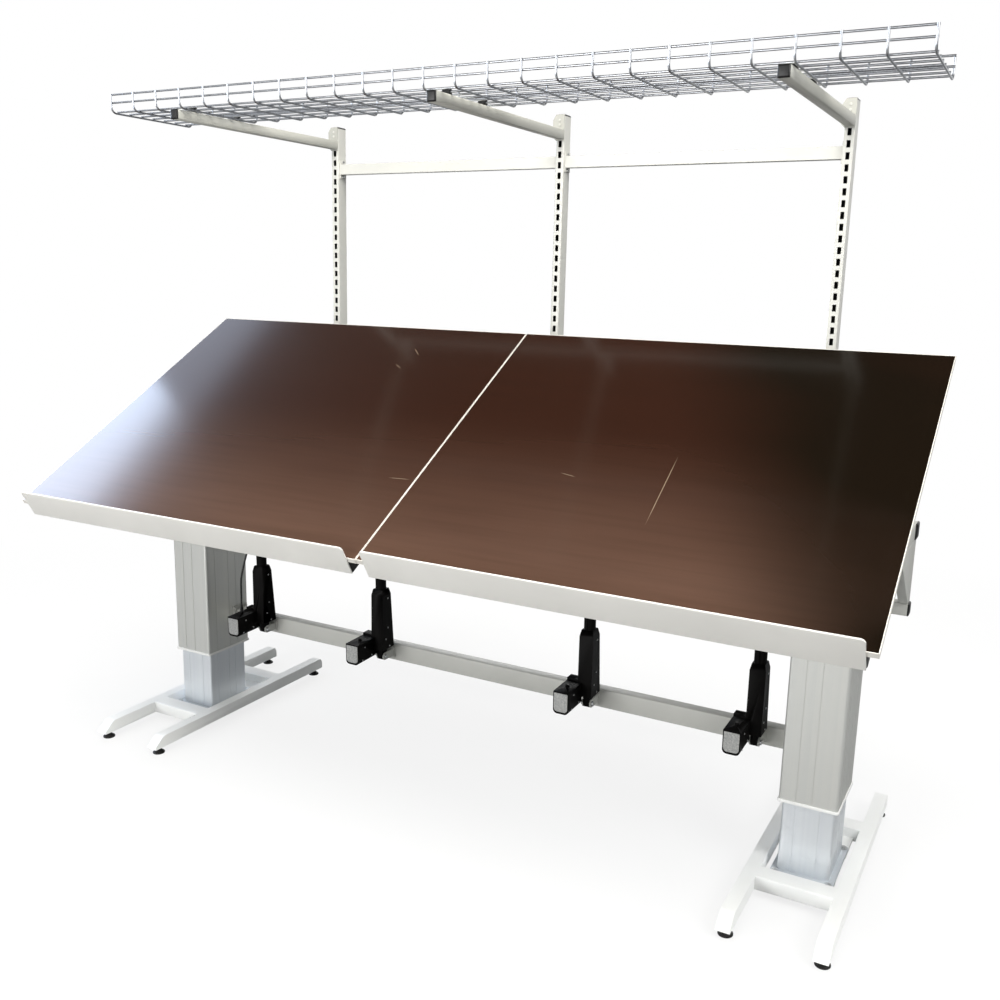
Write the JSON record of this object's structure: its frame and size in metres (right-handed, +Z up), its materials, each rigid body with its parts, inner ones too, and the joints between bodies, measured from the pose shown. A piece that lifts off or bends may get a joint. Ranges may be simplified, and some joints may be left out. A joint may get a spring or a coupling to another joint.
{
  "type": "height-adjustable tilting table",
  "caption": "Height-adjustable work table with tilting tops, front lips, telescopic columns, slotted rear uprights and an overhead wire cable tray.",
  "frame": {"origin": "on the floor, midway between the table's ends, and midway between the front-most edge of the lips and the back of the uprights", "axes": "+X to the right seen from the front, +Y to the back, +Z up"},
  "size_m": [2.656, 1.2504, 2.186],
  "materials": {
    "foot_paint": "smooth near-white powder coat",
    "frame_paint": "warm off-white powder coat",
    "lip_paint": "cream powder coat, satin",
    "beam_paint": "grey-white powder coat, satin",
    "inner_alu": "clear anodised extrusion",
    "outer_alu": "clear anodised extrusion",
    "plate_steel": "pale grey paint",
    "zinc": "bright zinc plating",
    "tray_zinc": "electro-galvanised wire",
    "rod_chrome": "hard-chromed",
    "black_plastic": "moulded, fine grain",
    "cap_plastic": "glossy moulded",
    "white_plastic": "moulded",
    "pad_rubber": "matt",
    "film_ply": "smooth phenolic film face over plywood, glossy dark brown",
    "edge_plastic": "cream edge band",
    "cylinder_steel": "dark grey paint",
    "cable_jacket": "smooth jacket"
  },
  "bodies": {
    "base": {"left_foot_bars": "foot_paint", "right_foot_bars": "foot_paint", "left_foot_crossbars": "foot_paint", "right_foot_crossbars": "foot_paint", "base_plates": "plate_steel", "base_bolts": "zinc", "levelling_feet": "pad_rubber", "left_inner_column": "inner_alu", "right_inner_column": "inner_alu", "column_glides": "white_plastic", "lift_cylinders": "cylinder_steel"},
    "lift": {"left_outer_column": "outer_alu", "right_outer_column": "outer_alu", "column_collars": "white_plastic", "lift_rods": "rod_chrome", "head_plates": "frame_paint", "side_tubes": "frame_paint", "front_tube": "frame_paint", "middle_beam": "frame_paint", "rear_upper_tube": "frame_paint", "rear_lower_tube": "frame_paint", "frame_caps": "cap_plastic", "gussets": "frame_paint", "hinge_lugs": "frame_paint", "pivot_pins": "zinc", "low_crossbeam": "beam_paint", "crossbeam_ends": "beam_paint", "actuator_clevises": "beam_paint", "left_upright": "frame_paint", "middle_upright": "frame_paint", "right_upright": "frame_paint", "back_frame_caps": "cap_plastic", "back_beams": "frame_paint", "beam_screws": "zinc", "tray_arms": "frame_paint", "cable_tray": "tray_zinc", "tray_clips": "black_plastic", "control_box": "black_plastic"},
    "left_top": {"left_panel": "film_ply", "left_edge_band": "edge_plastic", "left_lip": "lip_paint", "left_tilt_frame": "frame_paint", "left_tilt_caps": "cap_plastic", "left_rod_brackets": "frame_paint"},
    "right_top": {"right_panel": "film_ply", "right_edge_band": "edge_plastic", "right_lip": "lip_paint", "right_tilt_frame": "frame_paint", "right_tilt_caps": "cap_plastic", "right_rod_brackets": "frame_paint"},
    "housing_1": {"actuator_housing_1": "black_plastic", "tilt_cable": "cable_jacket"},
    "housing_2": {"actuator_housing_2": "black_plastic"},
    "housing_3": {"actuator_housing_3": "black_plastic"},
    "housing_4": {"actuator_housing_4": "black_plastic"},
    "rod_1": {"actuator_rod_1": "rod_chrome"},
    "rod_2": {"actuator_rod_2": "rod_chrome"},
    "rod_3": {"actuator_rod_3": "rod_chrome"},
    "rod_4": {"actuator_rod_4": "rod_chrome"}
  },
  "joints": [
    {"name": "table_lift", "type": "slide", "parent": "base", "child": "lift", "axis": [0, 0, 1], "range_m": [-0.185, 0.215]},
    {"name": "left_top_tilt", "type": "hinge", "parent": "lift", "child": "left_top", "pos_m": [0, -0.41881, 0.957], "axis": [1, 0, 0], "range_deg": [-30, 0]},
    {"name": "right_top_tilt", "type": "hinge", "parent": "lift", "child": "right_top", "pos_m": [0, -0.41881, 0.957], "axis": [1, 0, 0], "range_deg": [-30, 0]},
    {"name": "housing_swing_1", "type": "hinge", "parent": "lift", "child": "housing_1", "pos_m": [-0.86006, 0.00919, 0.359], "axis": [1, 0, 0], "range_deg": [-2.5, 0.25]},
    {"name": "rod_slide_1", "type": "slide", "parent": "housing_1", "child": "rod_1", "axis": [0, -0.026, 0.9997], "range_m": [-0.23, 0.005]},
    {"name": "housing_swing_2", "type": "hinge", "parent": "lift", "child": "housing_2", "pos_m": [-0.33989, 0.00919, 0.359], "axis": [1, 0, 0], "range_deg": [-2.5, 0.25]},
    {"name": "rod_slide_2", "type": "slide", "parent": "housing_2", "child": "rod_2", "axis": [0, -0.026, 0.9997], "range_m": [-0.23, 0.005]},
    {"name": "housing_swing_3", "type": "hinge", "parent": "lift", "child": "housing_3", "pos_m": [0.4261, 0.00919, 0.359], "axis": [1, 0, 0], "range_deg": [-2.5, 0.25]},
    {"name": "rod_slide_3", "type": "slide", "parent": "housing_3", "child": "rod_3", "axis": [0, -0.026, 0.9997], "range_m": [-0.23, 0.005]},
    {"name": "housing_swing_4", "type": "hinge", "parent": "lift", "child": "housing_4", "pos_m": [0.94492, 0.00919, 0.359], "axis": [1, 0, 0], "range_deg": [-2.5, 0.25]},
    {"name": "rod_slide_4", "type": "slide", "parent": "housing_4", "child": "rod_4", "axis": [0, -0.026, 0.9997], "range_m": [-0.23, 0.005]}
  ],
  "couplings": [
    {"joint": "housing_swing_1", "follows": "left_top_tilt", "ratio": 0.075},
    {"joint": "rod_slide_1", "follows": "left_top_tilt", "m_per_rad": 0.42972},
    {"joint": "housing_swing_2", "follows": "left_top_tilt", "ratio": 0.075},
    {"joint": "rod_slide_2", "follows": "left_top_tilt", "m_per_rad": 0.42972},
    {"joint": "housing_swing_3", "follows": "right_top_tilt", "ratio": 0.075},
    {"joint": "rod_slide_3", "follows": "right_top_tilt", "m_per_rad": 0.42972},
    {"joint": "housing_swing_4", "follows": "right_top_tilt", "ratio": 0.075},
    {"joint": "rod_slide_4", "follows": "right_top_tilt", "m_per_rad": 0.42972}
  ]
}
